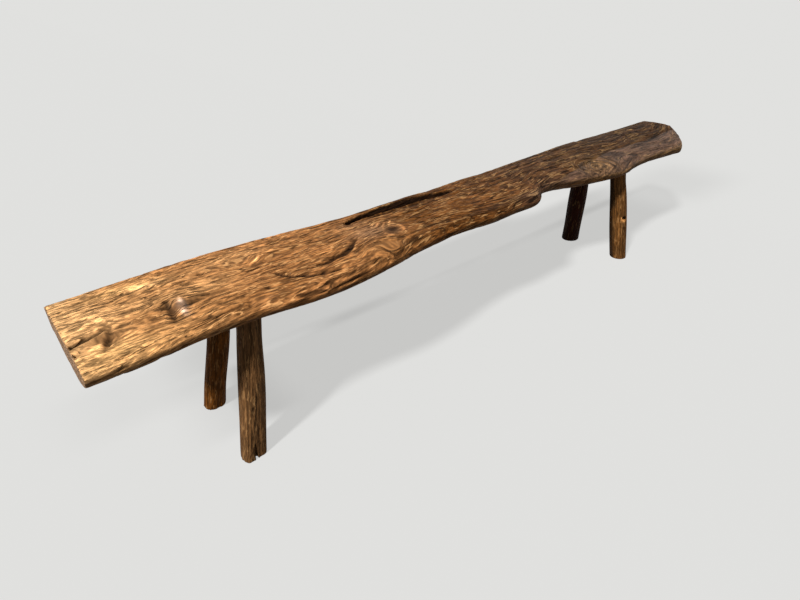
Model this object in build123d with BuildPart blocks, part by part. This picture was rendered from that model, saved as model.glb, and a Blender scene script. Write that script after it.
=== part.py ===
from build123d import *
import os
from math import radians, sqrt, tan

os.makedirs("parts", exist_ok=True)

# Rustic log bench: a half-log seat on four splayed round legs, each held by a blind wedged tenon.
# X runs along the seat, Y towards its back edge, Z up. The origin is on the floor under the seat's middle.
# Lengths are in millimetres, angles in degrees.

# ---- Seat: the log ----
seat_length = 2531.0
seat_width = 310.0  # mean width, which the two edges wander about
seat_height = 440.0  # floor to the flat top
seat_thickness = 90.0  # flat top to the belly of the log
top_crown = 3.0  # the worn top stands this much higher along its middle
edge_roll = 9.0  # where the front face rolls over at its nose
edge_wear = 3.0  # the top falls off this much at its back arris
back_edge = 55.0  # height of the steep face at the back
back_undercut = 5.0  # that face leans in this much at its foot
# The belly from the front edge to the deepest point: share of the width in, share of the depth down.
belly_outline = [(0.12, 0.60), (0.28, 0.93), (0.52, 1.00)]
rear_belly = (0.24, 0.88)  # behind that point: share of the width from the back, share of the thickness
belly_turn = (0.07, 0.22)  # turn up to the back face: share of the width, share of the depth below it

# ---- Seat: split along the back edge ----
split_start = 740.0  # from the left end to the tip of the split
split_length = 446.0
split_width = 46.0  # widest opening
split_inset = 76.0  # front lip of the split, in from the mean back edge
split_depth = 42.0
split_taper = 0.45  # width left at the bottom of the split

# ---- Seat: ends and the shard split off the back ----
corner_length = 185.0  # rounded front corner of the right end, measured along the seat
corner_width = 180.0  # across the seat, from the mean front edge to where the sawn end turns into it
corner_exit = 24.0  # from the mean front edge to where the corner runs out at the front
shard_start = 1988.0  # from the left end
shard_length = 190.0
shard_depth = 12.0  # step at the shard's thick end
shard_inset = 4.0  # from the mean back edge out to the bottom of that step
shard_lean = 4.0  # the step's face leans this much along the seat
cut_margin = 60.0  # how far a cutting body stands out of the wood

# ---- Legs and their joints ----
left_overhang = 376.5  # from the left end to where the left legs' axes meet the top
right_overhang = 593.5
leg_inset = 86.5  # from the mean edge to where a leg's axis meets the top
left_splay = 10.0  # lean along the seat
right_splay = 9.5
side_splay = 6.8  # lean across the seat
leg_diameter = 66.0  # mean size of the peeled poles
neck_diameter = 60.0  # round neck at the top of each leg
tenon_diameter = 40.0
housing_depth = 30.0  # belly of the log to the shoulder's seat
mortise_cover = 24.0  # from the flat top down to the bottom of each mortise
neck_length = 52.0  # round neck below the shoulder
foot_allowance = 30.0  # length of pole sawn off below the floor to level the feet
fit_clearance = 0.15  # between round neck or tenon and its hole, on the radius
tenon_end_gap = 1.0  # between a tenon's end and the bottom of its mortise
tenon_chamfer = 2.0

# ---- Fox wedges ----
kerf_stop = 9.0  # sound wood between the shoulder and the kerf
kerf_runout = 3.0  # kerf past the wedge's tip
wedge_thick_end = 5.0
wedge_tip = 1.6
wedge_width = 34.0
wedge_clearance = 0.1  # each side of the wedge in its kerf


# Worked out from the sizes above
half_length = seat_length / 2
half_width = seat_width / 2
shoulder_level = seat_height - (seat_thickness - housing_depth)
mortise_level = seat_height - mortise_cover

# The log at each station. "at" is the share of the seat's length from the left end. The rest is counted in
# log_step: "back" and "front" are how far each edge swells past the mean width, "wane" is the width of the
# sloping face between the flat top and the front edge, "drop" is how far that edge lies below the top, and
# "thin" is how much less than the seat's thickness the log measures there.
log_step = 1.0
log_stations = [
    # at, back, front, wane, drop, thin
    (0.000, 0, 10, 13, 20, 2),
    (0.018, 2, 10, 13, 20, 1),
    (0.045, 6, 11, 14, 20, 0),
    (0.085, 12, 3, 15, 20, 0),
    (0.130, 15, 4, 16, 21, 0),
    (0.170, 11, 14, 17, 22, 0),
    (0.210, 5, 25, 18, 24, 0),
    (0.250, -5, 21, 18, 24, 0),
    (0.290, -17, 9, 17, 24, 2),
    (0.333, -19, -10, 15, 24, 3),
    (0.375, -16, -21, 15, 23, 5),
    (0.417, -14, -23, 14, 22, 6),
    (0.458, -17, -13, 14, 22, 6),
    (0.495, -12, -16, 14, 22, 5),
    (0.525, -11, -14, 15, 22, 5),
    (0.545, -11, -19, 16, 22, 5),
    (0.560, -11, -46, 19, 22, 7),
    (0.575, -10, -65, 22, 23, 8),
    (0.620, -5, -73, 34, 24, 6),
    (0.660, 1, -47, 60, 28, 0),
    (0.700, 6, -22, 90, 32, -2),
    (0.740, 11, -9, 118, 35, -2),
    (0.780, 14, -24, 126, 36, -2),
    (0.825, 9, -35, 125, 36, -2),
    (0.870, 6, -34, 131, 38, -5),
    (0.915, 3, -30, 135, 42, -10),
    (0.955, 3, -36, 138, 52, -20),
    (0.982, 5, -41, 134, 66, -27),
    (1.000, 6, -43, 132, 76, -30),
]

# The poles' sections from the floor up to the neck: share of the way up, then how far the pole swells past
# its mean radius, counted in pole_step, at each eighth of a turn. The first is on the +X side, and they go
# round by way of the back.
pole_step = 1.0
front_left_sections = [
    (0.00, (-3, 0, 1, 2, 2, 4, -7, -1)),
    (0.30, (0, 1, 0, 1, 1, 2, -3, 0)),
    (0.62, (1, 0, -1, 0, 0, 1, -1, 1)),
    (0.86, (-2, -3, -2, -1, -2, -3, -3, -2)),
]
back_left_sections = [
    (0.00, (-1, -3, -4, -3, -4, -4, -5, -2)),
    (0.34, (-3, -4, -2, -3, -3, -2, -4, -4)),
    (0.58, (-1, -2, -3, -5, -4, -3, -3, -2)),
    (0.84, (-4, -5, -4, -3, -4, -5, -4, -3)),
]
front_right_sections = [
    (0.00, (0, 1, 2, 0, 1, 1, 0, -1)),
    (0.34, (0, -1, 1, 1, 0, 1, 2, 1)),
    (0.60, (-1, -2, -1, 0, -1, 0, 2, 2)),
    (0.86, (-2, -3, -3, -2, -3, -2, 0, 0)),
]
back_right_sections = [
    (0.00, (4, 3, 2, 4, 6, 4, 3, 5)),
    (0.36, (5, 4, 3, 3, 5, 5, 4, 4)),
    (0.66, (3, 3, 4, 4, 3, 2, 3, 4)),
    (0.88, (-1, 0, 1, 0, -2, -1, 0, 0)),
]

# ---- Marks on the legs ----
foot_split_width = 9.0  # crack at the front left foot
foot_split_height = 48.0
foot_split_depth = 16.0
foot_split_offset = -7.0  # off the leg's axis, along the seat
groove_radius = 9.0  # groove up the back left leg, at its foot
groove_length = 250.0
groove_offset = 3.0
groove_fade = 0.25  # share of that radius left at its top end
knot_hole_radius = 9.0  # dead knot in the front right leg
knot_hole_height = 187.0
knot_hole_offset = -9.0


def leg_axis(end, side):
    """The plane square to a leg where its axis meets the floor, and the axis length for each mm of height.

    end is -1 for the left legs and 1 for the right ones, side is -1 for the front and 1 for the back.
    """
    splay = left_splay if end < 0 else right_splay
    overhang = left_overhang if end < 0 else right_overhang
    lean_along = -end * tan(radians(splay))
    lean_across = -side * tan(radians(side_splay))
    stretch = sqrt(1 + lean_along**2 + lean_across**2)
    foot = Vector(
        end * (half_length - overhang) - lean_along * seat_height,
        side * (half_width - leg_inset) - lean_across * seat_height,
        0,
    )
    return Plane(origin=foot, x_dir=(1, 0, -lean_along), z_dir=(lean_along, lean_across, 1)), stretch


def tenon_length(stretch):
    return (mortise_level - shoulder_level) * stretch - tenon_end_gap


def wedge_length(stretch):
    return tenon_length(stretch) + tenon_end_gap - kerf_stop - kerf_runout


def wedge_plane(end, side):
    """Plane through a leg's axis and along the seat's grain, with its origin at the mortise's bottom."""
    axis, stretch = leg_axis(end, side)
    return Plane(origin=axis.offset(mortise_level * stretch).origin, x_dir=axis.x_dir, z_dir=-axis.y_dir)


def wedge_outline(length, clearance):
    """Tapered outline from the mortise floor down into the tenon, grown by a clearance on each face."""
    Polyline(
        (wedge_thick_end / 2 + clearance, 0),
        (wedge_tip / 2 + clearance, -length),
        (-wedge_tip / 2 - clearance, -length),
        (-wedge_thick_end / 2 - clearance, 0),
        close=True,
    )


def log_section(back, front, wane, drop, thin):
    """Half-log outline at one station, in the plane across the seat."""
    rear = half_width + back
    nose = -half_width - front
    width = rear - nose
    thickness = seat_thickness - thin
    low = thickness - drop
    top = seat_height
    rear_top = (rear - edge_wear, top - edge_wear)
    arris = (nose + wane, top)
    edge = (nose, top - drop)
    rear_low = (rear - back_undercut, top - edge_wear - back_edge)
    Spline(rear_top, ((rear + nose + wane) / 2, top + top_crown), arris)
    Spline(
        arris,
        (nose + edge_roll / 2, top - drop + edge_roll),
        edge,
        tangents=[(-wane, -0.5 * drop), (0, -1)],
    )
    Spline(
        edge,
        *[(nose + across * width, top - drop - down * low) for across, down in belly_outline],
        (rear - rear_belly[0] * width, top - rear_belly[1] * thickness),
        (rear - belly_turn[0] * width, rear_low[1] - belly_turn[1] * (thickness - back_edge)),
        rear_low,
        tangents=[(0.15, -1), (0.3, 1)],
    )
    Line(rear_low, rear_top)


def split_outline(opening):
    """Closed outline of the split in plan, opened to the given width about its front lip's line."""
    lip = half_width - split_inset

    def place(along, across):
        return (split_start + along * split_length - half_length, lip + across * opening)

    Spline(
        place(0.00, 0.05),
        place(0.12, 0.42),
        place(0.28, 0.83),
        place(0.50, 1.00),
        place(0.70, 0.84),
        place(0.90, 0.42),
        place(1.00, -0.05),
        place(0.92, -0.34),
        place(0.75, -0.16),
        place(0.45, -0.04),
        place(0.20, 0.02),
        periodic=True,
    )


# ---- The seat ----
with BuildPart() as seat:
    for at, *shape in log_stations:
        with BuildSketch(Plane.YZ.offset(at * seat_length - half_length)):
            with BuildLine():
                log_section(*[log_step * value for value in shape])
            make_face()
    loft()

    # The front corner of the right end is rounded off, right through the log.
    with BuildSketch(Plane.XY.offset(seat_height - seat_thickness - cut_margin)):
        with BuildLine():
            inner = (half_length, corner_width - half_width)
            outer = (half_length - corner_length, corner_exit - half_width)
            outside_y = -half_width - 2 * cut_margin
            Spline(
                inner,
                (half_length - 0.43 * corner_length, 0.50 * corner_width - half_width),
                outer,
                tangents=[(-0.55, -1), (-1, -0.35)],
            )
            Polyline(
                outer,
                (half_length - corner_length - cut_margin, outside_y),
                (half_length + cut_margin, outside_y),
                (half_length + cut_margin, corner_width - half_width),
                inner,
            )
        make_face()
    extrude(amount=seat_thickness + 2 * cut_margin, mode=Mode.SUBTRACT)

    # A thin shard has split away from the back edge and left a small step.
    with BuildSketch(Plane.XY.offset(seat_height - seat_thickness - cut_margin)):
        with BuildLine():
            step_x = shard_start - half_length
            step_y = half_width + shard_inset
            Polyline(
                (step_x, step_y),
                (step_x + shard_length, step_y + shard_depth),
                (step_x + shard_length, step_y + cut_margin),
                (step_x - shard_lean, step_y + cut_margin),
                close=True,
            )
        make_face()
    extrude(amount=seat_thickness + 2 * cut_margin, mode=Mode.SUBTRACT)

    # The deep split narrows towards its bottom.
    with BuildSketch(Plane.XY.offset(seat_height - split_depth)):
        with BuildLine():
            split_outline(split_width * split_taper)
        make_face()
    with BuildSketch(Plane.XY.offset(seat_height + 2 * top_crown)):
        with BuildLine():
            split_outline(split_width)
        make_face()
    loft(mode=Mode.SUBTRACT)

    # Each leg has a wide housing for its neck and a narrower mortise for its tenon, bored along its axis.
    for end in (-1, 1):
        for side in (-1, 1):
            axis, stretch = leg_axis(end, side)
            with BuildSketch(axis.offset(shoulder_level * stretch - neck_length)):
                Circle(neck_diameter / 2 + fit_clearance)
            extrude(amount=neck_length, mode=Mode.SUBTRACT)
            with BuildSketch(axis.offset(shoulder_level * stretch)):
                Circle(tenon_diameter / 2 + fit_clearance)
            extrude(amount=(mortise_level - shoulder_level) * stretch, mode=Mode.SUBTRACT)

seat.part.label = "seat"
export_step(seat.part, "parts/seat.step")


# ---- The legs ----
def pole_outline(swells):
    """Closed, nearly round outline through one point at each eighth of a turn."""
    step = 360 / len(swells)
    radii = [leg_diameter / 2 + pole_step * swell for swell in swells]
    points = [Vector(radius, 0).rotate(Axis.Z, i * step) for i, radius in enumerate(radii)]
    Spline(*points, periodic=True)


def leg_solid(end, side, sections):
    """Pole from its sawn foot to its round neck, with the shoulder and the tenon kerfed for its wedge."""
    axis, stretch = leg_axis(end, side)
    shoulder = shoulder_level * stretch
    neck_start = shoulder - neck_length
    with BuildPart() as pole:
        foot_swells = sections[0][1]
        with BuildSketch(axis.offset(-foot_allowance)):
            with BuildLine():
                pole_outline(foot_swells)
            make_face()
        for share, swells in sections:
            with BuildSketch(axis.offset(share * neck_start)):
                with BuildLine():
                    pole_outline(swells)
                make_face()
        with BuildSketch(axis.offset(neck_start)):
            Circle(neck_diameter / 2)
        loft()
        with BuildSketch(axis.offset(neck_start)):
            Circle(neck_diameter / 2)
        extrude(amount=neck_length)
        with BuildSketch(axis.offset(shoulder)):
            Circle(tenon_diameter / 2)
        extrude(amount=tenon_length(stretch))
        chamfer(pole.edges().filter_by(GeomType.CIRCLE).sort_by(Axis.Z)[-1], tenon_chamfer)
        with BuildSketch(wedge_plane(end, side)):
            with BuildLine():
                wedge_outline(wedge_length(stretch) + kerf_runout, wedge_clearance)
            make_face()
        extrude(amount=tenon_diameter, both=True, mode=Mode.SUBTRACT)
        split(bisect_by=Plane.XY, keep=Keep.TOP)
    return pole.part


with BuildPart() as leg_front_left:
    add(leg_solid(-1, -1, front_left_sections))
    # A crack opens from the foot up the side that faces forward.
    foot, _ = leg_axis(-1, -1)
    crack_origin = foot.from_local_coords((foot_split_offset, -leg_diameter, 0))
    with BuildSketch(Plane(origin=crack_origin, x_dir=(1, 0, 0), z_dir=(0, -1, 0))):
        with BuildLine():
            Polyline(
                (-foot_split_width / 2, -cut_margin),
                (foot_split_width / 2, -cut_margin),
                (foot_split_width / 2, 0),
                (0.75 * foot_split_width, foot_split_height),
                (-0.1 * foot_split_width, foot_split_height / 2),
                close=True,
            )
        make_face()
    extrude(amount=-leg_diameter / 2 - foot_split_depth, mode=Mode.SUBTRACT)

leg_front_left.part.label = "leg_front_left"
export_step(leg_front_left.part, "parts/leg_front_left.step")

with BuildPart() as leg_back_left:
    add(leg_solid(-1, 1, back_left_sections))
    # A groove runs up the side that faces forward and fades out.
    foot, _ = leg_axis(-1, 1)
    for rise, radius in ((-foot_allowance, groove_radius), (groove_length, groove_fade * groove_radius)):
        groove_centre = foot.from_local_coords((groove_offset, -leg_diameter / 2, rise))
        with BuildSketch(Plane(origin=groove_centre, x_dir=foot.x_dir, z_dir=foot.z_dir)):
            Circle(radius)
    loft(mode=Mode.SUBTRACT)

leg_back_left.part.label = "leg_back_left"
export_step(leg_back_left.part, "parts/leg_back_left.step")

with BuildPart() as leg_front_right:
    add(leg_solid(1, -1, front_right_sections))
    # A dead knot has fallen out of the side that faces forward.
    foot, _ = leg_axis(1, -1)
    with Locations(foot.from_local_coords((knot_hole_offset, -leg_diameter / 2, knot_hole_height))):
        Sphere(knot_hole_radius, mode=Mode.SUBTRACT)

leg_front_right.part.label = "leg_front_right"
export_step(leg_front_right.part, "parts/leg_front_right.step")

with BuildPart() as leg_back_right:
    add(leg_solid(1, 1, back_right_sections))

leg_back_right.part.label = "leg_back_right"
export_step(leg_back_right.part, "parts/leg_back_right.step")


# ---- The fox wedges ----
# Each wedge stands on the bottom of its mortise, and the tenon is driven onto it.
for name, end, side in (
    ("wedge_front_left", -1, -1),
    ("wedge_back_left", -1, 1),
    ("wedge_front_right", 1, -1),
    ("wedge_back_right", 1, 1),
):
    with BuildPart() as wedge:
        _, stretch = leg_axis(end, side)
        with BuildSketch(wedge_plane(end, side)):
            with BuildLine():
                wedge_outline(wedge_length(stretch), 0)
            make_face()
        extrude(amount=wedge_width / 2, both=True)
    wedge.part.label = name
    export_step(wedge.part, f"parts/{name}.step")
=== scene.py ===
import itertools
import math

import bpy
import numpy as np
from mathutils import Matrix, Vector


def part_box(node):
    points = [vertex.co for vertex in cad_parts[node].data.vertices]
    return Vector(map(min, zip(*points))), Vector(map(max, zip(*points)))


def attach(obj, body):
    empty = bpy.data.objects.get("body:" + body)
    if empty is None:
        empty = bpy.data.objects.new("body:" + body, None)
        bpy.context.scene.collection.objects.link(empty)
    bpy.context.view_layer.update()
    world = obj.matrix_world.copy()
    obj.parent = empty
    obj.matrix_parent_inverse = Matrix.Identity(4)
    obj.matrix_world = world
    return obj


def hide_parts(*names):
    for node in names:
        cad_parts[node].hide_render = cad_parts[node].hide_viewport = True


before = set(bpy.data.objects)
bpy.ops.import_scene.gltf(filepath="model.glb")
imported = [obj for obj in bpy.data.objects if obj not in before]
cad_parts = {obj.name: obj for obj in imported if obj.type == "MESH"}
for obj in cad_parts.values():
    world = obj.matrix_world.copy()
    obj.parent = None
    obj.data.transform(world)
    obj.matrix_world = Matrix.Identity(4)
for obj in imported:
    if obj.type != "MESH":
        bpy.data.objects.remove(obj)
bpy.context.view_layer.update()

# Rustic log bench: a weathered half-log seat on four peeled poles.
# Blender works in metres. The wood's own measures are given in millimetres, as arrays of points.
MM = 0.001

# ---- Camera: the photograph's view ----
CAMERA_PLACE = (-1322.5, -1128.0, 1065.0)
CAMERA_PITCH = math.radians(31.37)  # down
CAMERA_YAW = math.radians(40.07)  # from +Y towards +X
CAMERA_ROLL = math.radians(-0.31)
CAMERA_LENS = 24.6555
SENSOR_WIDTH = 36.0

# ---- Light and background ----
BACKGROUND = (0.753, 0.753, 0.738, 1.0)
SUN_PATH = (1.0, 0.25, -1.0)  # the way the light travels
SUN_STRENGTH = 4.3
SUN_SPREAD = math.radians(6.0)
AMBIENT = 0.10
FLOOR_COLOUR = (0.697, 0.697, 0.684)
FLOOR_BOUNCE = (0.35, 0.35, 0.35)  # the colour of the light that it throws back up
FLOOR_SIZE = 60.0
FLOOR_GLOW = 0.75  # share of the floor's colour that the camera sees without shadow
FLOOR_GLOW_FAR = 0.90  # the same past the right end of the bench
FLOOR_FAR = (1.25, 1.75)  # where along x the one turns into the other
# Soft shadows painted on the floor: depth, then where each fades in and out along x and
# along y.
PAINTED_FLOOR_SHADOWS = [
    (0.20, (-1.10, -0.80, -0.60, -0.40), (0.240, 0.295, 0.42, 0.52)),
    (0.20, (-0.60, -0.40, 0.60, 0.90), (0.205, 0.265, 0.42, 0.52)),
    (0.20, (0.60, 0.90, 1.20, 1.75), (0.205, 0.265, 0.36, 0.46)),
    (0.05, (-1.42, -1.15, -0.95, -0.75), (0.12, 0.25, 0.36, 0.47)),
    (0.10, (-1.12, -0.90, -0.86, -0.72), (-0.06, 0.00, 0.235, 0.285)),
    (0.09, (1.45, 1.75, 1.90, 2.40), (-0.15, 0.10, 0.25, 0.50)),
]

# ---- Wood colours ----
BRIGHT_GOLD = (0.88, 0.480, 0.180)
PALE_GOLD = (0.82, 0.455, 0.190)
GOLD = (0.55, 0.255, 0.088)
ORANGE_BROWN = (0.41, 0.172, 0.056)
MID_BROWN = (0.27, 0.110, 0.032)
BROWN = (0.134, 0.048, 0.010)
DARK_BROWN = (0.088, 0.036, 0.0115)
OLIVE = (0.168, 0.090, 0.036)
DARKEST = (0.056, 0.023, 0.0065)
NEAR_BLACK = (0.034, 0.0135, 0.0040)
DUSTY_BROWN = (0.36, 0.19, 0.095)
# Painted highlight: the white of the glints on the shiny ridge.
PAINTED_HIGHLIGHT_WHITE = (0.80, 0.62, 0.50)
PURPLE_GREY = (0.110, 0.059, 0.036)
PURPLE_BROWN = (0.125, 0.056, 0.023)
# Painted shade: the colour laid on faces that point down.
UNDERSIDE_SHADE = (0.085, 0.035, 0.010)
CUT_END = (0.20, 0.124, 0.078)
# Painted shade: the colour of the split's inside and of its lip.
SLOT_SHADE = (0.02, 0.008, 0.003)
WEDGE_WOOD = (0.62, 0.46, 0.28)
FLECK_TINT = (0.42, 0.250, 0.104)  # what a pale fleck adds to the wood's own colour


# ---- Numbers: noise and soft shapes on arrays of points ----
# Each use of noise has a seed of its own. The finer layers of a layered noise take the seeds after it.
NOISE_CELLS = 256  # after so many cells the noise repeats


def noise(points, size, seed):
    """Smooth noise of about -1 to 1 at each point. size is the length of one cell along each axis."""
    random = np.random.default_rng(seed)
    shuffle = random.permutation(NOISE_CELLS)
    slopes = random.normal(size=(NOISE_CELLS, 3))
    slopes /= np.linalg.norm(slopes, axis=1, keepdims=True)
    spots = points / np.asarray(size, float)
    cell = np.floor(spots).astype(int)
    inside = spots - cell
    ease = inside**3 * (inside * (6 * inside - 15) + 10)
    total = np.zeros(len(points))
    for corner in itertools.product((0, 1), repeat=3):
        pick = np.zeros(len(points), int)
        for place in ((cell + corner) % NOISE_CELLS).T:
            pick = shuffle[(pick + place) % NOISE_CELLS]
        slope = np.einsum("ij,ij->i", slopes[pick], inside - corner)
        weight = np.prod(np.where(corner, ease, 1 - ease), axis=1)
        total += weight * slope
    return 1.6 * total


def layered_noise(points, size, seed, layers=3):
    """Noise with finer and weaker layers on top."""
    size = np.asarray(size, float)
    total = sum(noise(points, size / 2**i, seed + i) / 2**i for i in range(layers))
    return total / 1.5


def as_share(level):
    """Noise of -1 to 1, turned into a share of 0 to 1."""
    return 0.5 + 0.5 * level


def smooth_step(value, start, end):
    """0 before start and 1 past end, eased between them. start may be the larger one."""
    share = np.clip((value - start) / (end - start), 0, 1)
    return share * share * (3 - 2 * share)


def plateau(value, start, full, waning, end):
    """1 from full to waning, eased down to 0 at start and at end."""
    return smooth_step(value, start, full) * smooth_step(value, end, waning)


def blob(points, centre, reach):
    """1 at the centre, fading smoothly to 0 at about the reach along each axis."""
    away = (points[:, : len(centre)] - centre) / np.asarray(reach, float)
    return np.exp(-2.0 * np.sum(away * away, axis=1))


def along_path(points, path):
    """Distance of each point from a path in plan, and how far along the path its nearest spot is, 0 to 1."""
    path = np.asarray(path, float)
    lengths = np.linalg.norm(np.diff(path, axis=0), axis=1)
    starts = np.concatenate([[0], np.cumsum(lengths)])
    nearest = np.full(len(points), math.inf)
    share = np.zeros(len(points))
    for start, end, length, before in zip(path[:-1], path[1:], lengths, starts):
        line = (end - start) / length
        reach = np.clip((points[:, :2] - start) @ line, 0, length)
        away = np.linalg.norm(points[:, :2] - start - reach[:, None] * line, axis=1)
        closer = away < nearest
        nearest[closer] = away[closer]
        share[closer] = (before + reach[closer]) / starts[-1]
    return nearest, share


# ---- Meshes ----
def dense_copy(node, name, voxel, long_axis, stretch):
    """Closed copy of a CAD node with fine faces, drawn out along one axis. The CAD node stays as it is."""
    piece = bpy.data.objects.new(name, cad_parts[node].data.copy())
    bpy.context.collection.objects.link(piece)
    factors = np.ones(3)
    factors[long_axis] = 1 / stretch
    set_points(piece.data, points_of(piece.data) * factors)
    remesh = piece.modifiers.new("remesh", "REMESH")
    remesh.mode = "VOXEL"
    remesh.voxel_size = voxel * MM
    graph = bpy.context.evaluated_depsgraph_get()
    dense = bpy.data.meshes.new_from_object(piece.evaluated_get(graph))
    piece.modifiers.clear()
    piece.data = dense
    set_points(dense, points_of(dense) / factors)
    dense.name = name
    dense.materials.clear()
    dense.shade_smooth()
    return piece


def points_of(mesh):
    """The mesh's points, in millimetres."""
    flat = np.empty(3 * len(mesh.vertices))
    mesh.vertices.foreach_get("co", flat)
    return flat.reshape(-1, 3) / MM


def normals_of(mesh):
    """The outward direction of the surface at each point."""
    flat = np.empty(3 * len(mesh.vertices))
    mesh.vertex_normals.foreach_get("vector", flat)
    return flat.reshape(-1, 3)


def set_points(mesh, points):
    """Moves the mesh's points to these places, in millimetres."""
    mesh.vertices.foreach_set("co", (points * MM).ravel())
    mesh.update()


def edges_of(mesh):
    """The two points that each edge joins."""
    flat = np.empty(2 * len(mesh.edges), int)
    mesh.edges.foreach_get("vertices", flat)
    return flat.reshape(-1, 2)


def smoothed(values, edges, rounds):
    """Values averaged with their neighbours' along the mesh's edges."""
    count = np.bincount(edges.ravel(), minlength=len(values)).astype(float)
    shape = (-1,) + (1,) * (values.ndim - 1)
    for _ in range(rounds):
        total = np.zeros_like(values)
        np.add.at(total, edges[:, 0], values[edges[:, 1]])
        np.add.at(total, edges[:, 1], values[edges[:, 0]])
        values = 0.5 * values + 0.5 * total / count.reshape(shape)
    return values


def store(mesh, name, values):
    """Keeps one number or one vector for each vertex, for the material to read."""
    kind, field = ("FLOAT", "value") if values.ndim == 1 else ("FLOAT_VECTOR", "vector")
    layer = mesh.attributes.new(name, kind, "POINT")
    layer.data.foreach_set(field, np.ascontiguousarray(values, float).ravel())


def keep_in_box(points, node):
    """Holds the points inside the CAD node's own box."""
    low, high = (np.array(corner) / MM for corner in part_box(node))
    return np.clip(points, low, high)


# ---- Shader nodes ----
class Nodes:
    """Adds nodes to a tree. Most methods return the socket that their new node gives out."""

    def __init__(self, tree):
        self.tree = tree

    def give(self, socket, value):
        """Sets a socket to a value or links it to another socket, and returns nothing."""
        if isinstance(value, bpy.types.NodeSocket):
            self.tree.links.new(value, socket)
        else:
            socket.default_value = value

    def node(self, kind, inputs, **settings):
        """Returns the new node itself, for one with several sockets to read."""
        node = self.tree.nodes.new(kind)
        for key, value in settings.items():
            setattr(node, key, value)
        for key, value in inputs.items():
            self.give(node.inputs[key], value)
        return node

    def add(self, kind, inputs, out=0, **settings):
        return self.node(kind, inputs, **settings).outputs[out]

    def number(self, name):
        """The number that the mesh keeps under that name."""
        return self.add("ShaderNodeAttribute", {}, "Fac", attribute_name=name)

    def vector(self, name):
        """The vector that the mesh keeps under that name."""
        return self.add("ShaderNodeAttribute", {}, "Vector", attribute_name=name)

    def math(self, operation, first, second=0.0, third=0.0, clamp=False):
        inputs = {0: first, 1: second, 2: third}
        return self.add("ShaderNodeMath", inputs, operation=operation, use_clamp=clamp)

    def times(self, first, second, clamp=False):
        return self.math("MULTIPLY", first, second, clamp=clamp)

    def larger(self, first, second):
        return self.math("MAXIMUM", first, second)

    def weighed(self, value, factor, rest, clamp=False):
        """The value times the factor, added to the rest."""
        return self.math("MULTIPLY_ADD", value, factor, rest, clamp=clamp)

    def scaled(self, vector, factors):
        return self.add("ShaderNodeVectorMath", {0: vector, 1: factors}, operation="MULTIPLY")

    def plus(self, vector, other):
        return self.add("ShaderNodeVectorMath", {0: vector, 1: other}, operation="ADD")

    def gain(self, colour, factor):
        """The colour, made brighter or darker by a factor."""
        return self.add("ShaderNodeVectorMath", {0: colour, "Scale": factor}, operation="SCALE")

    def noise(self, vector, cell, detail=2.0, roughness=0.55, distortion=0.0):
        """Noise of 0 to 1 whose cells measure so many millimetres along, across and into the grain."""
        inputs = {
            "Vector": self.scaled(vector, tuple(1 / length for length in cell)),
            "Scale": 1.0,
            "Detail": detail,
            "Roughness": roughness,
            "Distortion": distortion,
        }
        return self.add("ShaderNodeTexNoise", inputs, "Fac")

    def between(self, value, start, end, low=0.0, high=1.0):
        """low where the value is before start, high where it is past end, eased between them."""
        inputs = {"Value": value, "From Min": start, "From Max": end, "To Min": low, "To Max": high}
        return self.add("ShaderNodeMapRange", inputs, interpolation_type="SMOOTHSTEP")

    def mix(self, share, first, second):
        """The first colour where the share is 0, the second one where it is 1."""
        # Inputs 6 and 7 and output 2 are those for colours.
        inputs = {"Factor": share, 6: first, 7: second}
        return self.add("ShaderNodeMix", inputs, 2, data_type="RGBA")

    def bump(self, height, distance):
        """Normals of a relief whose height runs from 0 to 1 over so many millimetres."""
        return self.add("ShaderNodeBump", {"Height": height, "Distance": distance * MM, "Strength": 1.0})


class MaterialNodes(Nodes):
    """The nodes of one new material, which starts as a Principled shader."""

    def __init__(self, name):
        self.material = bpy.data.materials.new(name)
        self.material.use_nodes = True
        super().__init__(self.material.node_tree)
        self.surface = self.tree.nodes["Principled BSDF"]

    def paint(self, name, value):
        """Sets or links one input of the Principled shader, and returns nothing."""
        self.give(self.surface.inputs[name], value)


class WoodNodes(MaterialNodes):
    """The nodes of a wood whose marks follow the mesh's own grain. streak is their size, 1 on the seat."""

    def __init__(self, name, streak):
        super().__init__(name)
        self.grain = self.vector("grain")
        self.streak = streak

    def stretched(self, along, across, detail, roughness=0.55, distortion=0.0):
        """Noise that is drawn out along the grain."""
        cell = (along * self.streak, across * self.streak, across * self.streak)
        return self.noise(self.grain, cell, detail, roughness, distortion)

    def lines(self, along, across, width):
        """Thin wandering lines along the grain, where a noise crosses its own middle."""
        level = self.math("SUBTRACT", self.stretched(along, across, 1.5, 0.5, 0.2), 0.5)
        return self.between(self.math("ABSOLUTE", level), width, 0.25 * width)

    def strokes(self, along, across, share, shift, wobble):
        """Long thin marks along the grain, such as torn fibres leave, in a share of cells of that size."""
        cells_per_mm = (1 / (along * self.streak), 1 / (across * self.streak), 1 / (across * self.streak))
        place = self.plus(self.scaled(self.grain, cells_per_mm), wobble)
        place = self.plus(place, (shift, shift, shift))
        # Each cell has its own colour, and a stroke fills the middle of a chosen cell.
        cells = self.node("ShaderNodeTexVoronoi", {"Vector": place, "Scale": 1.0})
        chance = self.add("ShaderNodeSeparateColor", {"Color": cells.outputs["Color"]}, "Red")
        chosen = self.between(chance, 1 - share, 1.04 - share)
        return self.times(self.between(cells.outputs["Distance"], 0.38, 0.30), chosen)


# Streaks along the grain: length and width in millimetres, then the detail, roughness and distortion of their
# noise, how far it strays from its middle, how much it lightens and darkens the wood, and how high it stands.
STREAKS = {
    "medium": ((95, 11), (3.0, 0.6, 0.2), 0.14, 0.12, 0.6),
    "fine": ((52, 5.6), (2.0, 0.5, 0.1), 0.10, 0.42, 1.1),
    "lumps": ((32, 15), (3.0, 0.6, 0.3), 0.16, 0.10, 0.5),
    "grit": ((12, 5), (1.0, 0.55, 0.0), 0.14, 0.24, 0.5),
}
RELIEF_HEIGHT = 3.6  # millimetres from a height of 0 to one of 1


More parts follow.
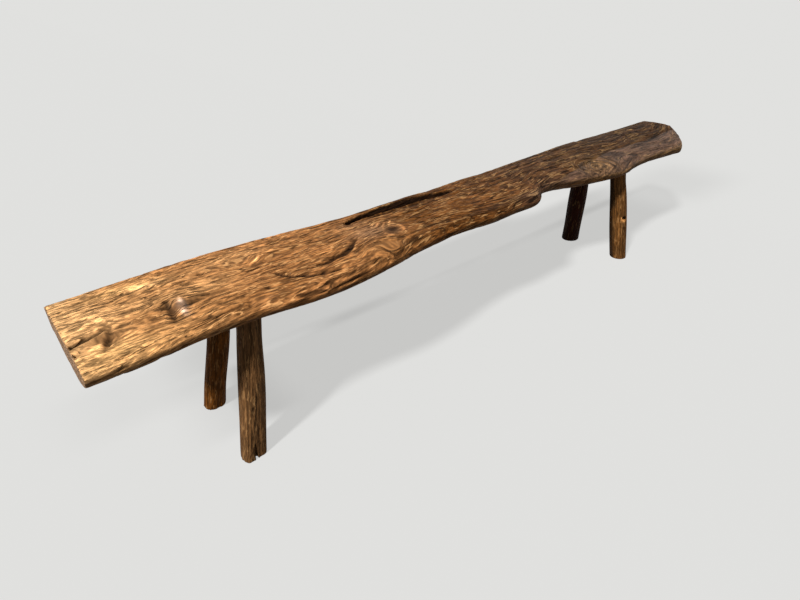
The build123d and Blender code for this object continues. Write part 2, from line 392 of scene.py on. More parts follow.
def torn_fibres(nodes, fleck_share, wobble):
    """Where the pale marks show: flecks that stand in patches, and hairs."""
    patches = nodes.between(nodes.noise(nodes.grain, (150, 45, 45)), 0.36, 0.52)
    long = nodes.strokes(66, 3.9, fleck_share, 0.0, wobble)
    short = nodes.strokes(40, 3.4, 0.7 * fleck_share, 11.3, wobble)
    flecks = nodes.times(nodes.larger(long, short), patches)
    flecks = nodes.times(flecks, nodes.number("flecks"), clamp=True)
    gaps = nodes.between(nodes.stretched(50, 14, 1.0), 0.49, 0.55)
    hairs = nodes.times(nodes.lines(75, 9.5, 0.050), gaps)
    hairs = nodes.times(hairs, nodes.number("hairs"), clamp=True)
    return nodes.larger(flecks, hairs)


def open_pores(nodes, wobble):
    """Where the fine dark grooves show."""
    patches = nodes.between(nodes.stretched(90, 22, 1.0), 0.48, 0.54)
    grooves = nodes.times(nodes.lines(130, 15, 0.045), patches)
    grooves = nodes.larger(nodes.strokes(60, 7.5, 0.16, 5.7, wobble), grooves)
    return nodes.times(grooves, nodes.number("rough"), clamp=True)


def weathered_wood(name, streak, contrast, fleck_share, polish=None):
    """Open-grained old wood, coloured by the mesh's own layers and streaked along its grain.

    streak is the size of the streaks and contrast their strength, against those of the seat. fleck_share is
    the share of cells with a pale fleck. polish is how shiny the wood is, or None where the mesh keeps it.
    """
    nodes = WoodNodes(name, streak)
    levels = {key: nodes.stretched(*size, *kind) for key, (size, kind, *_) in STREAKS.items()}
    wobble = nodes.times(nodes.math("SUBTRACT", levels["lumps"], 0.5), 0.7)
    fibres = torn_fibres(nodes, fleck_share, wobble)
    pores = open_pores(nodes, wobble)

    tone = nodes.between(nodes.stretched(380, 28, 3.0), 0.34, 0.66, 0.84, 1.16)
    height = 0.0
    for key, (_, _, spread, strength, rise) in STREAKS.items():
        low, high = 1 - strength * contrast, 1 + strength * contrast
        tone = nodes.times(tone, nodes.between(levels[key], 0.5 - spread, 0.5 + spread, low, high))
        height = nodes.weighed(levels[key], rise, height)
    tone = nodes.times(tone, nodes.number("relief"))
    wood = nodes.vector("wood")
    pale = nodes.plus(nodes.gain(wood, 1.45), FLECK_TINT)
    colour = nodes.mix(fibres, nodes.gain(wood, tone), pale)
    colour = nodes.mix(nodes.times(pores, 0.8), colour, nodes.gain(colour, 0.20))
    nodes.paint("Base Color", nodes.gain(colour, nodes.number("shade")))

    height = nodes.weighed(fibres, 0.25, height)
    height = nodes.weighed(pores, -0.55, height)
    nodes.paint("Normal", nodes.bump(height, RELIEF_HEIGHT))

    if polish is None:
        polish = nodes.number("polish")
        gloss = nodes.weighed(polish, 0.70, 0.03)
    else:
        gloss = 0.70 * polish + 0.03
    nodes.paint("Specular IOR Level", gloss)
    rough = nodes.weighed(polish, -0.30, nodes.between(levels["medium"], 0.3, 0.7, 0.70, 0.58))
    nodes.paint("Roughness", nodes.weighed(pores, 0.2, rough, clamp=True))
    return nodes.material


# ---- The seat ----
SEAT_VOXEL = 2.0  # across the grain
SEAT_STRETCH = 2.2  # how much longer the faces are along it
SEAT_SMOOTHING = 4  # rounds
SEAT_TOP = 440.0
SEAT_LEFT = -1265.0
SEAT_LENGTH = 2530.0
COARSER = 0.9  # how much larger the grain's marks grow from the left end to the right one
EDGE_REACH = 1270.0  # the seat's edges are looked for this far from the middle,
EDGE_STEP = 20.0  # in each such length of it,
EDGE_SPAN = 5  # and averaged over so many of them
SOCKET_REACH = 38.0  # more than the radius of the legs' sockets
ENDS_FROM = 1150.0  # the sawn ends lie further than this from the middle

# The long split: where its inside, painted dark as shade, fades in and out along the seat, between what
# lines it lies across the seat, and its lowest point.
SLOT_ALONG = (-560, -520, -90, -60)
SLOT_ACROSS = (52, 120)
SLOT_FLOOR = 380
# The lip in front of the split, painted dark as shade falling into the split: where it fades in and out along
# and across the seat, and its depth.
LIP_ALONG = (-490, -420, -160, -95)
LIP_ACROSS = (65, 71, 81, 88)
LIP_DEPTH = 8.0

# The large swirl over the right legs.
SWIRL = (515, -80)
SWIRL_STRETCH = 1.30

# Knots in the seat: place in plan, radius, how far the bend of the grain is drawn out along the seat, and
# whether the grain runs in rings inside it.
KNOTS = [
    ((-1046, -50), 30, 1.2, False),
    ((-430, -42), 30, 1.2, False),
    (SWIRL, 72, SWIRL_STRETCH, True),
    ((-944, 66), 9, 2.0, False),
    ((-1192, -72), 24, 1.3, False),
    ((-500, -110), 42, 1.3, False),
]

# Where the grain runs at a slant: place in plan, reach along each axis, slope.
SLANTS = [
    ((-180, -90), (520, 120), -0.17),
    ((-810, 50), (90, 40), 0.45),
    ((-980, 200), (120, 60), 0.15),
    ((-436, 8), (50, 34), 1.1),
    ((-530, -120), (60, 50), -0.6),
]

# Lines in the top, in plan: path, width, depth (under 0 for a ridge), darkness as painted shade in the line
# (under 0 for a pale one).
LINES = [
    ([(-1320, -90), (-1268, -63), (-1244, -56), (-1220, -47), (-1200, -42), (-1182, -38)], 5.0, 9.0, 0.75),
    ([(-1176, -34), (-1182, -46), (-1187, -70), (-1200, -98), (-1213, -118)], 4.5, 6.0, 0.60),
    ([(-1193, -42), (-1198, -64), (-1211, -92), (-1224, -110)], 4.0, -2.5, -0.25),
    ([(-1320, -112), (-1268, -100), (-1251, -94), (-1236, -98), (-1222, -104)], 4.0, 5.0, 0.50),
    ([(-1173, -52), (-1158, -46), (-1140, -43)], 4.0, 5.0, 0.65),
    ([(-1226, -10), (-1204, 6), (-1186, 3), (-1178, -14)], 6.0, -3.0, -0.60),
    ([(-1222, -22), (-1204, -8), (-1190, -13), (-1183, -28)], 4.0, 3.5, 0.40),
    ([(-1052, -14), (-1058, -30), (-1057, -50), (-1062, -70), (-1068, -98)], 6.0, 7.0, 0.70),
    # The shiny ridge: its paleness is a painted highlight.
    ([(-1026, -14), (-1033, -46), (-1039, -69), (-1044, -95)], 4.5, -6.0, -0.75),
    ([(-1018, -60), (-996, -50), (-970, -43), (-950, -46), (-915, -50)], 5.5, 5.0, 0.50),
    ([(-954, 60), (-945, 64), (-935, 66)], 4.0, 9.0, 0.90),
    ([(-1226, 107), (-1200, 112), (-1185, 114), (-1150, 125)], 3.5, 4.0, 0.60),
    ([(-1132, 91), (-1094, 73), (-1062, 66), (-1035, 61)], 4.0, 4.0, 0.50),
    ([(-1126, 106), (-1082, 92), (-1044, 75)], 9.0, -2.0, -0.35),
    ([(-997, -144), (-986, -134), (-963, -133), (-941, -131), (-925, -134), (-906, -142)], 4.0, 7.0, 0.60),
    ([(-911, -118), (-914, -134), (-921, -148)], 4.0, 5.0, 0.50),
    ([(-813, -48), (-805, -58), (-797, -75), (-783, -93), (-765, -104), (-747, -115), (-727, -123),
      (-705, -129), (-668, -135)],
     4.5, 8.0, 0.80),
    ([(-708, -85), (-679, -84), (-652, -79), (-625, -74), (-595, -60), (-561, -35), (-544, -25)],
     6.5, 9.0, 0.85),
    ([(-640, -54), (-603, -42), (-570, -20)], 6.0, -2.5, -0.25),
    ([(-692, -36), (-673, -35), (-647, -37), (-602, -33)], 2.8, -1.5, -0.70),
    ([(-842, 18), (-806, 48), (-786, 72)], 2.8, -1.0, -0.70),
    ([(-828, 32), (-800, 46), (-769, 61), (-722, 82)], 2.8, -1.0, -0.70),
    ([(-856, 26), (-830, 50), (-815, 70)], 2.6, -1.0, -0.55),
    ([(-474, 2), (-462, 20), (-452, 38)], 2.6, -1.0, -0.90),
    ([(-460, -6), (-447, 14), (-436, 30)], 2.6, -1.0, -0.90),
    ([(-452, -22), (-438, -4), (-424, 12)], 2.6, -1.0, -0.90),
    ([(-424, -14), (-408, 4), (-392, 20)], 2.6, -1.0, -0.90),
    ([(-446, 12), (-426, 16), (-408, 2), (-399, -26), (-402, -52), (-416, -78)], 3.4, -1.5, -0.85),
    ([(-466, -30), (-462, -58), (-448, -80), (-432, -88)], 3.0, -1.5, -0.60),
    ([(-505, 74), (-440, 76), (-260, 76), (-150, 72), (-95, 68)], 7.0, 9.0, 0.85),
    ([(860, -44), (900, -38), (975, -28), (1044, -20), (1105, -4)], 7.0, 6.0, 0.60),
    ([(640, -24), (713, -13), (857, -16), (942, -20), (1051, -12), (1148, -8), (1290, 4)], 7.0, 2.0, 0.25),
    ([(728, -80), (755, -88), (784, -90)], 7.0, 4.0, 0.60),
    ([(-120, 100), (-100, 88), (-84, 76)], 6.0, 7.0, 0.70),
]

# Lines in the front face, along the seat and up: path, width, depth, darkness as painted shade in the line.
FRONT_LINES = [
    ([(-814, 427), (-775, 424), (-740, 421)], 4.0, 6.0, 0.75),
    ([(-736, 417), (-700, 419), (-640, 420), (-600, 424)], 4.0, 6.0, 0.70),
    ([(-1230, 415), (-1140, 412), (-1060, 404), (-1000, 408)], 3.0, 3.0, 0.50),
]

# Hollows in the top: place in plan, reach, depth (under 0 for a swelling), darkness as painted shade in the
# hollow (under 0 for a pale one).
HOLLOWS = [
    ((-1064, -28), (16, 14), 7.0, 0.50),  # beside the shiny ridge
    ((-1195, -18), (30, 18), -1.5, 0.0),
    ((-1200, -72), (22, 22), 3.0, 0.15),
    ((-1138, 122), (20, 14), -4.0, -0.40),  # the golden bulge
    ((-1120, -105), (60, 30), -3.0, -0.05),
    ((-1010, -90), (40, 24), -2.5, 0.0),
    ((-944, 64), (9, 5), 7.0, 0.80),  # small dark hole
    ((-877, 92), (22, 9), -2.0, -0.50),
    ((-875, -147), (20, 12), -2.0, -0.35),
    ((-905, -112), (40, 20), 2.5, 0.15),
    ((-958, -150), (14, 12), -3.0, -0.20),
    ((-530, -115), (62, 40), -4.0, 0.0),  # the bulge beside the purple knot
    ((-430, -38), (26, 30), 4.0, 0.45),
    ((-400, -90), (24, 36), -2.0, 0.0),
    ((300, -118), (90, 22), 3.0, 0.10),
    ((1058, 95), (26, 14), -1.0, -1.60),
    ((1268, 70), (34, 60), 7.0, 0.0),
    ((1180, -50), (60, 24), -2.0, 0.0),
    ((960, -70), (50, 30), 3.0, 0.0),
]

# Colours from the left end of the seat to the right one: place, colour. Their fall from light to dark is
# partly the wood's own tone and partly painted light, a lamp's light falling off along the seat.
SEAT_TONES = [
    (-1265, PALE_GOLD), (-1120, GOLD), (-860, ORANGE_BROWN), (-700, ORANGE_BROWN), (-480, MID_BROWN),
    (-310, BROWN), (-60, BROWN), (200, DARK_BROWN), (600, DARKEST), (1265, DARKEST),
]

# Soft patches on them, in the order they are laid on: colour, strength, place in plan, reach.
LEFT_PATCHES = [
    (BRIGHT_GOLD, 0.95, (-1190, -135), (150, 45)),
    (BRIGHT_GOLD, 0.30, (-1090, -110), (90, 40)),
    (GOLD, 0.80, (-980, -125), (130, 50)),
    (BRIGHT_GOLD, 0.90, (-1120, 108), (90, 24)),
    (PALE_GOLD, 0.80, (-1060, 86), (70, 20)),
    (PALE_GOLD, 0.75, (-1215, 20), (60, 60)),
    (ORANGE_BROWN, 0.60, (-1200, -75), (50, 30)),
    (MID_BROWN, 0.80, (-1085, -40), (85, 34)),
    (PURPLE_BROWN, 0.45, (-1040, -50), (44, 44)),
    # Painted highlights: two white glints on the shiny ridge.
    (PAINTED_HIGHLIGHT_WHITE, 0.70, (-1031, -34), (9, 20)),
    (PAINTED_HIGHLIGHT_WHITE, 0.60, (-1041, -82), (9, 18)),
    (GOLD, 0.25, (-860, 120), (160, 40)),
    (MID_BROWN, 0.65, (-740, 40), (220, 70)),
    (MID_BROWN, 0.80, (-720, -70), (170, 60)),
    (MID_BROWN, 0.78, (-870, -125), (240, 50)),
    (ORANGE_BROWN, 0.50, (-1105, -100), (60, 60)),
    (GOLD, 0.65, (-980, 0), (140, 55)),
    (PALE_GOLD, 0.35, (-1120, 10), (90, 60)),
    (PALE_GOLD, 0.30, (-985, -5), (120, 50)),
    (PALE_GOLD, 0.25, (-870, 90), (160, 50)),
    (DUSTY_BROWN, 0.80, (-490, -15), (90, 55)),
    (GOLD, 0.35, (-520, -110), (80, 45)),
    (PURPLE_BROWN, 0.95, (-430, -40), (46, 50)),
    (DUSTY_BROWN, 0.40, (-500, 60), (90, 40)),
]
RIGHT_PATCHES = [
    (PURPLE_GREY, 0.80, (90, -125), (130, 34)),
    (PURPLE_GREY, 0.70, (260, -85), (110, 40)),
    (DARK_BROWN, 0.70, (-40, -115), (160, 44)),
    (DARK_BROWN, 0.35, (-110, -20), (90, 50)),
    (DARK_BROWN, 0.80, (-250, 72), (200, 26)),
    (DARK_BROWN, 0.60, (-230, 118), (190, 24)),
    (NEAR_BLACK, 0.90, (880, 90), (320, 62)),
    (NEAR_BLACK, 0.60, (1080, 70), (110, 50)),
]

# How strongly the flecks and the hairs show along the seat: place, flecks, hairs.
FIBRES = [
    (-1265, 0.15, 0.80), (-950, 0.30, 0.80), (-600, 0.40, 0.75), (-330, 0.90, 0.70),
    (0, 0.75, 0.56), (200, 0.50, 0.46), (600, 0.24, 0.42), (1265, 0.16, 0.38),
]

# The line in plan where the flat top turns down into the sloping wane, from the middle to the right end.
ARRIS = [
    (150, -150), (230, -105), (304, -75), (405, -62), (506, -50), (607, -32),
    (713, -13), (857, -18), (942, -21), (1051, -14), (1148, -9), (1266, 2),
]


def edge_lines(points):
    """Places along the seat, and where its front and its back edge run there."""
    limits = np.arange(-EDGE_REACH, EDGE_REACH + 1, EDGE_STEP)
    which = np.clip(np.digitize(points[:, 0], limits), 1, len(limits) - 1)
    front = np.full(len(limits), math.inf)
    back = np.full(len(limits), -math.inf)
    np.minimum.at(front, which, points[:, 1])
    np.maximum.at(back, which, points[:, 1])
    soften = np.ones(EDGE_SPAN) / EDGE_SPAN
    padded = (np.pad(line[1:], EDGE_SPAN // 2, mode="edge") for line in (front, back))
    front, back = (np.convolve(line, soften, mode="valid") for line in padded)
    return limits[1:] - EDGE_STEP / 2, front, back


def seat_grain(points):
    """Grain coordinates: along the log, across it with the flow round edges and knots, and up."""
    centres, front, back = edge_lines(points)
    x, y, z = points.T
    front_here = np.interp(x, centres, front)
    back_here = np.interp(x, centres, back)
    share = np.clip((y - front_here) / (back_here - front_here), 0, 1)
    drift = (1 - share) * (front_here - front.mean()) + share * (back_here - back.mean())
    wander = 11.0 * noise(points, (260, 130, 130), 11) + 6.0 * noise(points, (100, 46, 46), 12)
    across = y - 0.8 * drift + wander
    for centre, reach, slope in SLANTS:
        across = across - slope * (x - centre[0]) * blob(points, centre, reach)
    coarse = 1 + COARSER * (x - SEAT_LEFT) / SEAT_LENGTH
    along = SEAT_LENGTH / COARSER * np.log(coarse)
    for centre, radius, stretch, ringed in KNOTS:
        dx = (x - centre[0]) / stretch
        dy = y - centre[1]
        away = np.sqrt(dx * dx + dy * dy) + 1e-6
        near = smooth_step(away, 5.0 * radius, 1.2 * radius)
        across = across - 1.1 * near * dy * radius**2 / (radius**2 + away**2)
        if ringed:
            inside = smooth_step(away, 1.2 * radius, 0.8 * radius)
            ring = centre[1] + away + 7.0 * noise(points, (30, 30, 30), 13)
            turned = along + radius * np.arctan2(dy, dx)
            across = across + inside * (ring - across)
            along = along + inside * (turned - along)
    return np.stack([along, across / coarse, z / coarse], axis=1)


def wane_share(points):
    """1 on the smooth sloping face in front of the arris at the right, 0 elsewhere."""
    line = np.interp(points[:, 0], *zip(*ARRIS)) + 5.0 * noise(points, (60, 60, 60), 20)
    return smooth_step(points[:, 1], line + 3, line - 5) * smooth_step(points[:, 0], 60, 250)


def seat_regions(points, normals):
    """Shares of 0 to 1: how far each point lies in the long split, on its lip and on the sawn ends."""
    x, y, z = points.T
    slot = plateau(x, *SLOT_ALONG) * smooth_step(z, SEAT_TOP - 3, SEAT_TOP - 8)
    slot = slot * (y > SLOT_ACROSS[0]) * (y < SLOT_ACROSS[1]) * (z > SLOT_FLOOR)
    lip = plateau(x, *LIP_ALONG) * plateau(y, *LIP_ACROSS) * (normals[:, 2] > 0.3)
    ends = smooth_step(np.abs(normals[:, 0]), 0.75, 0.92) * (np.abs(x) > ENDS_FROM)
    return slot, lip, ends


def seat_colour(points, normals, slot, lip, ends):
    """Base colour of the seat at each point, from listed soft patches."""
    x, z = points[:, 0], points[:, 2]
    places, tones = zip(*SEAT_TONES)
    colour = np.stack([np.interp(x, places, channel) for channel in zip(*tones)], axis=1)

    def blend(tone, weight):
        nonlocal colour
        colour = colour + np.clip(weight, 0, 1)[:, None] * (np.array(tone) - colour)

    for tone, strength, place, reach in LEFT_PATCHES:
        blend(tone, strength * blob(points, place, reach))
    cloud = as_share(layered_noise(points, (160, 50, 50), 21))
    blend(MID_BROWN, 0.3 * cloud * blob(points, (-40, -50), (120, 50)))
    for tone, strength, place, reach in RIGHT_PATCHES:
        blend(tone, strength * blob(points, place, reach))
    blend(PURPLE_GREY, 0.95 * wane_share(points))
    blend(OLIVE, 0.85 * blob(points, (528, -78), (120, 80)))
    blend(OLIVE, smooth_step(x, 300, 500) * smooth_step(z, 420, 400))
    # Painted shade: faces that point down are darkened.
    blend(UNDERSIDE_SHADE, 0.9 * smooth_step(normals[:, 2], -0.05, -0.55))
    # Painted shade: the inside of the split and the lip in front of it are darkened.
    blend(SLOT_SHADE, slot)
    blend(SLOT_SHADE, 0.9 * lip)
    blend(CUT_END, 0.9 * ends)
    return colour


def seat_wear(points, normals, grain):
    """How deep the weather has worn each point, how bright its grooves leave it, and how streaked it is."""
    top = smooth_step(normals[:, 2], 0.35, 0.8)
    wane = wane_share(points)
    ridged = 1 - 0.65 * wane
    broad = layered_noise(grain, (340, 52, 52), 31)
    ridges = layered_noise(grain, (90, 14, 14), 32, 2)
    lumps = layered_noise(grain, (60, 30, 30), 36, 2)
    grooves = smooth_step(noise(grain, (110, 11, 11), 33), -0.20, -0.70)
    depth = 2.0 * as_share(broad) + ridged * 1.1 * as_share(ridges)
    depth += (2.4 - 0.6 * wane) * as_share(lumps)
    depth += ridged * 2.2 * grooves

    crumpled = blob(points, (-1110, -62), (150, 60)) + blob(points, (-930, -125), (110, 34))
    depth += 2.2 * crumpled * top * as_share(layered_noise(points, (18, 15, 15), 38, 2))
    edges = plateau(np.abs(normals[:, 2]), 0.20, 0.45, 0.80, 0.97)
    nicks = smooth_step(layered_noise(points, (46, 30, 30), 37, 2), 0.0, 0.7)
    depth += 4.0 * edges * nicks
    return depth, 1 - 0.28 * grooves, 1.0 + 0.16 * ridges + 0.10 * broad


def cut_line(flat, path, width, deep, painted_shade, mask, depth, shade):
    """Cuts one line into the depths and shades of the points, as far as the mask lets it."""
    away, share = along_path(flat, path)
    ends = np.sin(np.pi * np.clip(0.08 + 0.84 * share, 0, 1)) ** 0.5
    cut = np.exp(-((away / (1.4 * width * ends + 0.3)) ** 2)) * ends * mask
    depth += deep * cut
    # Painted shade darkens the inside of the line.
    shade *= 1 - painted_shade * smooth_step(cut, 0.10, 0.65)


def mark_seat(points, normals, depth, shade):
    """Works the listed lines, the hollows and the rings of the swirl into the depths and shades."""
    x, y, z = points.T
    top = smooth_step(normals[:, 2], 0.35, 0.8)
    face = smooth_step(-normals[:, 1], 0.35, 0.8) * smooth_step(normals[:, 2], -0.3, 0.0)
    bend = 3.5 * noise(points, (30, 30, 30), 34)
    for line in LINES:
        cut_line(np.stack([x, y + bend], axis=1), *line, top, depth, shade)
    for line in FRONT_LINES:
        cut_line(np.stack([x, z + bend], axis=1), *line, face, depth, shade)
    for centre, reach, deep, painted_shade in HOLLOWS:
        dent = blob(points, centre, reach) * top
        depth += deep * dent
        # Painted shade darkens the hollow.
        shade *= 1 - painted_shade * dent

    away = np.hypot((x - SWIRL[0]) / SWIRL_STRETCH, y - SWIRL[1])
    swirl = smooth_step(away, 92, 55) * top
    rings = np.sin(away / 5.0 + 4.0 * noise(points, (60, 60, 60), 35))
    depth += swirl * (1.5 + 1.5 * rings)
    shade *= 1 + 0.35 * swirl * rings


def in_sockets(points, normals):
    """Which points lie on the walls of the legs' sockets."""
    inside = np.zeros(len(points), bool)
    for node, *_ in LEGS:
        foot, line = pole_axis(points_of(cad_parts[node].data))
        away = points - foot
        away = away - (away @ line)[:, None] * line
        inside |= (np.linalg.norm(away, axis=1) < SOCKET_REACH) & (normals @ line < 0.5)
    return inside


def store_seat_marks(mesh, points, normals, shade, open_wood):
    """Keeps how strongly flecks, hairs and grooves show on each point of the seat, and how polished it is."""
    wane = wane_share(points)
    top = smooth_step(normals[:, 2], 0.2, 0.6)
    places, fleck_weights, hair_weights = zip(*FIBRES)
    flecks = np.interp(points[:, 0], places, fleck_weights)
    hairs = np.interp(points[:, 0], places, hair_weights)
    smooth_gold = blob(points, (-1150, -110), (90, 34)) + blob(points, (-530, -115), (55, 40))
    smooth_gold += blob(points, (-430, -40), (34, 40))
    calm = np.clip(1 - 0.8 * smooth_gold, 0, 1)
    clear = open_wood * calm * np.clip(shade, 0, 1) ** 1.5
    store(mesh, "flecks", flecks * (0.3 + 0.7 * top) * (1 - 0.5 * wane) * clear)
    store(mesh, "hairs", hairs * (0.5 + 0.5 * top) * (1 - 0.3 * wane) * clear)
    store(mesh, "rough", (0.5 + 0.5 * top) * (1 - 0.4 * wane) * calm)
    shine = blob(points, (-1036, -60), (16, 50)) + 0.25 * blob(points, (-875, -147), (26, 16)) + 0.10 * wane
    store(mesh, "polish", top * np.clip(0.06 + shine, 0, 1))


def make_seat():
    seat = dense_copy("seat", "seat_log", SEAT_VOXEL, long_axis=0, stretch=SEAT_STRETCH)
    mesh = seat.data
    points = smoothed(points_of(mesh), edges_of(mesh), SEAT_SMOOTHING)
    set_points(mesh, points)
    normals = normals_of(mesh)
    slot, lip, ends = seat_regions(points, normals)
    grain = seat_grain(points)
    depth, shade, relief = seat_wear(points, normals, grain)
    mark_seat(points, normals, depth, shade)
    depth += LIP_DEPTH * lip
    depth = np.where(in_sockets(points, normals), 0, depth * (1 - 0.7 * ends))
    set_points(mesh, keep_in_box(points - depth[:, None] * normals, "seat"))

    store(mesh, "grain", grain)
    store(mesh, "wood", seat_colour(points, normals, slot, lip, ends))
    store(mesh, "relief", relief)
    store(mesh, "shade", shade)
    store_seat_marks(mesh, points, normals, shade, (1 - slot) * (1 - lip) * (1 - ends))
    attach(seat, "root")
    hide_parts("seat")
    mesh.materials.append(weathered_wood("seat_wood", streak=1.0, contrast=1.0, fleck_share=0.30))


# ---- The legs ----
LEG_VOXEL = 1.5  # across the grain
LEG_STRETCH = 2.5  # how much longer the faces are along it
LEG_SMOOTHING = 3  # rounds
LEG_POLISH = 0.02
LOW_SLICE = (20, 60)  # heights between which the middle of a pole is taken,
HIGH_SLICE = (200, 260)  # and again, to find its axis
KNOT_HOLE = (711.0, -131.0, 187.0)
PAINTED_SHADE_SIDE = (-0.77, 0.64)  # the way, in plan, that the side of each pole painted in shade faces
LEGS = [
    # node, seed, colour, darkness of the side painted in shade
    ("leg_front_left", 1, (0.132, 0.062, 0.022), 0.3),
    ("leg_back_left", 2, (0.115, 0.038, 0.005), 0.3),
    ("leg_front_right", 3, (0.150, 0.062, 0.016), 0.85),
    # The back right pole's near-black colour is painted shade.
    ("leg_back_right", 4, (0.022, 0.004, 0.0006), 0.5),
]
# How strongly each kind of mark shows all over the legs.
LEG_MARKS = {"flecks": 0.5, "hairs": 0.25, "rough": 0.6}


def pole_axis(points):
    """Foot point and direction of a pole, from the middles of its low and high slices."""
    z = points[:, 2]
    low, high = (points[(z > start) & (z < end)].mean(axis=0) for start, end in (LOW_SLICE, HIGH_SLICE))
    line = (high - low) / np.linalg.norm(high - low)
    return low, line


def knot_hole_shade(points):
    """Shade of a knot's hole, painted dark as shade inside it, and of the paler rim under it."""
    away = np.linalg.norm(points - KNOT_HOLE, axis=1)
    rim = plateau(away, 7, 10, 15, 22) * (points[:, 2] < KNOT_HOLE[2] + 4)
    return (1 + 2.6 * rim) * (1 - 0.9 * smooth_step(away, 9, 6))


def make_leg(node, seed, tone, side_shade):
    leg = dense_copy(node, node + "_pole", LEG_VOXEL, long_axis=2, stretch=LEG_STRETCH)
    mesh = leg.data
    points = smoothed(points_of(mesh), edges_of(mesh), LEG_SMOOTHING)
    set_points(mesh, points)
    normals = normals_of(mesh)
    foot, line = pole_axis(points)
    along = (points - foot) @ line
    aside = points - foot - along[:, None] * line
    grain = np.stack([along, aside[:, 0], aside[:, 1]], axis=1)
    bark = layered_noise(grain, (200, 12, 12), 40 + seed)
    facets = noise(grain, (90, 40, 40), 50 + seed)
    checks = smooth_step(noise(grain, (180, 9, 9), 60 + seed), -0.35, -0.8)
    depth = 0.6 * as_share(bark) + 0.8 * as_share(facets) + 1.6 * checks
    # The end in the seat and the sawn faces stay unworn, and the foot stays flat on the floor.
    depth *= smooth_step(points[:, 2], 390, 350) * smooth_step(np.abs(normals @ line), 0.8, 0.5)
    moved = points - depth[:, None] * normals
    on_floor = points[:, 2] < 1.0
    moved[on_floor, 2] = points[on_floor, 2]
    set_points(mesh, keep_in_box(moved, node))

    shade = 1 - 0.6 * checks
    # Painted shade: one side of each pole is darkened.
    shade *= 1 - side_shade * smooth_step(normals[:, :2] @ np.array(PAINTED_SHADE_SIDE), 0.55, 0.95)
    if node == "leg_front_right":
        # Painted shade in the knot hole.
        shade *= knot_hole_shade(points)
    store(mesh, "grain", grain)
    store(mesh, "wood", (1 + 0.25 * facets)[:, None] * np.array(tone))
    store(mesh, "relief", 1 + 0.2 * bark)
    store(mesh, "shade", shade)
    for name, strength in LEG_MARKS.items():
        store(mesh, name, np.full(len(points), strength))
    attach(leg, "root")
    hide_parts(node)
    wood = weathered_wood(node + "_wood", streak=0.9, contrast=0.6, fleck_share=0.10, polish=LEG_POLISH)
    mesh.materials.append(wood)


# ---- The wedges ----
def make_wedge_material():
    """Pale split wood, for the fox wedges hidden in the joints."""
    nodes = MaterialNodes("wedge_wood")
    place = nodes.add("ShaderNodeTexCoord", {}, "Object")
    place = nodes.scaled(place, (1 / MM, 1 / MM, 1 / MM))
    fibres = nodes.noise(place, (1.2, 1.2, 40), 3.0)
    tone = nodes.between(fibres, 0.3, 0.7, 0.8, 1.15)
    nodes.paint("Base Color", nodes.gain(WEDGE_WOOD, tone))
    nodes.paint("Normal", nodes.bump(fibres, 0.4))
    nodes.paint("Roughness", 0.7)
    return nodes.material


def dress_wedges():
    material = make_wedge_material()
    for name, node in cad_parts.items():
        if name.startswith("wedge_"):
            node.data.materials.clear()
            node.data.materials.append(material)


# ---- Stage ----
def seen_rays(nodes):
    """1 for the rays that show the background: straight from the camera, or by way of a mirror or glass."""
    path = nodes.node("ShaderNodeLightPath", {})
    seen = path.outputs["Is Camera Ray"]
    for kind in ("Is Glossy Ray", "Is Transmission Ray"):
        seen = nodes.larger(seen, path.outputs[kind])
    return seen


def floor_after_painted_shadows(nodes, x, y):
    """What share of the floor's colour the painted shadows leave."""
    shade = 0.0
    for depth, (x1, x2, x3, x4), (y1, y2, y3, y4) in PAINTED_FLOOR_SHADOWS:
        along = nodes.times(nodes.between(x, x1, x2), nodes.between(x, x4, x3))
        across = nodes.times(nodes.between(y, y1, y2), nodes.between(y, y4, y3))
        shade = nodes.weighed(nodes.times(along, across), depth, shade)
    return nodes.math("SUBTRACT", 1.0, shade)


def make_floor():
    """Pale floor that keeps the bench's shadow, but seen paler than it falls, with soft shadows painted on
    it.
    """
    mesh = bpy.data.meshes.new("floor")
    half = FLOOR_SIZE / 2
    corners = [(-half, -half, 0), (half, -half, 0), (half, half, 0), (-half, half, 0)]
    mesh.from_pydata(corners, [], [(0, 1, 2, 3)])
    floor = bpy.data.objects.new("floor", mesh)
    bpy.context.collection.objects.link(floor)

    nodes = MaterialNodes("floor")
    seen = seen_rays(nodes)
    place = nodes.add("ShaderNodeTexCoord", {}, "Object")
    x, y, _ = nodes.node("ShaderNodeSeparateXYZ", {0: place}).outputs
    # The painted shadows darken the floor's colour.
    light = floor_after_painted_shadows(nodes, x, y)
    floor_colour = nodes.mix(seen, (*FLOOR_BOUNCE, 1.0), (*FLOOR_COLOUR, 1.0))
    nodes.paint("Base Color", nodes.gain(floor_colour, light))
    nodes.paint("Roughness", 1.0)
    nodes.paint("Specular IOR Level", 0.0)
    glow = nodes.add("ShaderNodeEmission", {"Color": nodes.gain(BACKGROUND[:3], light), "Strength": 1.0})
    share = nodes.times(seen, nodes.between(x, *FLOOR_FAR, FLOOR_GLOW, FLOOR_GLOW_FAR))
    shader = nodes.add("ShaderNodeMixShader", {0: share, 1: nodes.surface.outputs[0], 2: glow})
    nodes.give(nodes.tree.nodes["Material Output"].inputs["Surface"], shader)
    mesh.materials.append(nodes.material)


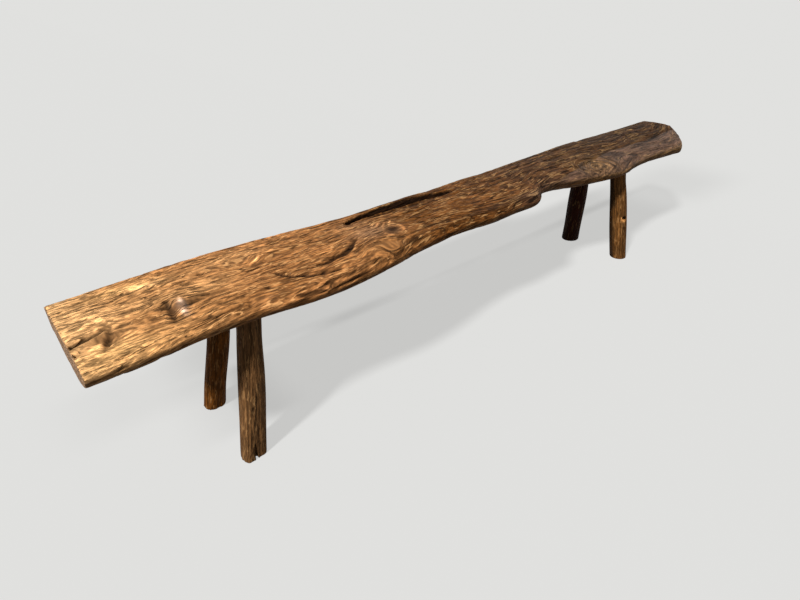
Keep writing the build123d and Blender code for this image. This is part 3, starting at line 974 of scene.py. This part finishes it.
def make_sun():
    lamp = bpy.data.lights.new("sun", "SUN")
    lamp.energy = SUN_STRENGTH
    lamp.angle = SUN_SPREAD
    sun = bpy.data.objects.new("sun", lamp)
    sun.rotation_mode = "QUATERNION"
    sun.rotation_quaternion = Vector(SUN_PATH).to_track_quat("-Z", "Y")
    bpy.context.collection.objects.link(sun)


def make_world():
    """Weak white light from all round, seen as the plain background."""
    world = bpy.data.worlds.new("studio")
    world.use_nodes = True
    nodes = Nodes(world.node_tree)
    ambient = nodes.tree.nodes["Background"]
    nodes.give(ambient.inputs["Strength"], AMBIENT)
    nodes.give(ambient.inputs["Color"], (1.0, 1.0, 1.0, 1.0))
    background = nodes.add("ShaderNodeBackground", {"Color": BACKGROUND})
    light = nodes.add("ShaderNodeMixShader", {0: seen_rays(nodes), 1: ambient.outputs[0], 2: background})
    nodes.give(nodes.tree.nodes["World Output"].inputs["Surface"], light)
    bpy.context.scene.world = world


def make_camera():
    data = bpy.data.cameras.new("camera")
    data.lens = CAMERA_LENS
    data.sensor_width = SENSOR_WIDTH
    data.clip_end = 100.0
    ahead = Vector((
        math.sin(CAMERA_YAW) * math.cos(CAMERA_PITCH),
        math.cos(CAMERA_YAW) * math.cos(CAMERA_PITCH),
        -math.sin(CAMERA_PITCH),
    ))
    right = Vector((math.cos(CAMERA_YAW), -math.sin(CAMERA_YAW), 0))
    up = right.cross(ahead)
    turned_right = math.cos(CAMERA_ROLL) * right + math.sin(CAMERA_ROLL) * up
    turned_up = -math.sin(CAMERA_ROLL) * right + math.cos(CAMERA_ROLL) * up
    camera = bpy.data.objects.new("camera", data)
    turn = Matrix((turned_right, turned_up, -ahead)).transposed().to_4x4()
    camera.matrix_world = Matrix.Translation(Vector(CAMERA_PLACE) * MM) @ turn
    bpy.context.collection.objects.link(camera)
    bpy.context.scene.camera = camera


make_camera()
make_sun()
make_world()
make_floor()
make_seat()
for leg in LEGS:
    make_leg(*leg)
dress_wedges()

scene = bpy.context.scene
scene.view_settings.view_transform = "Standard"
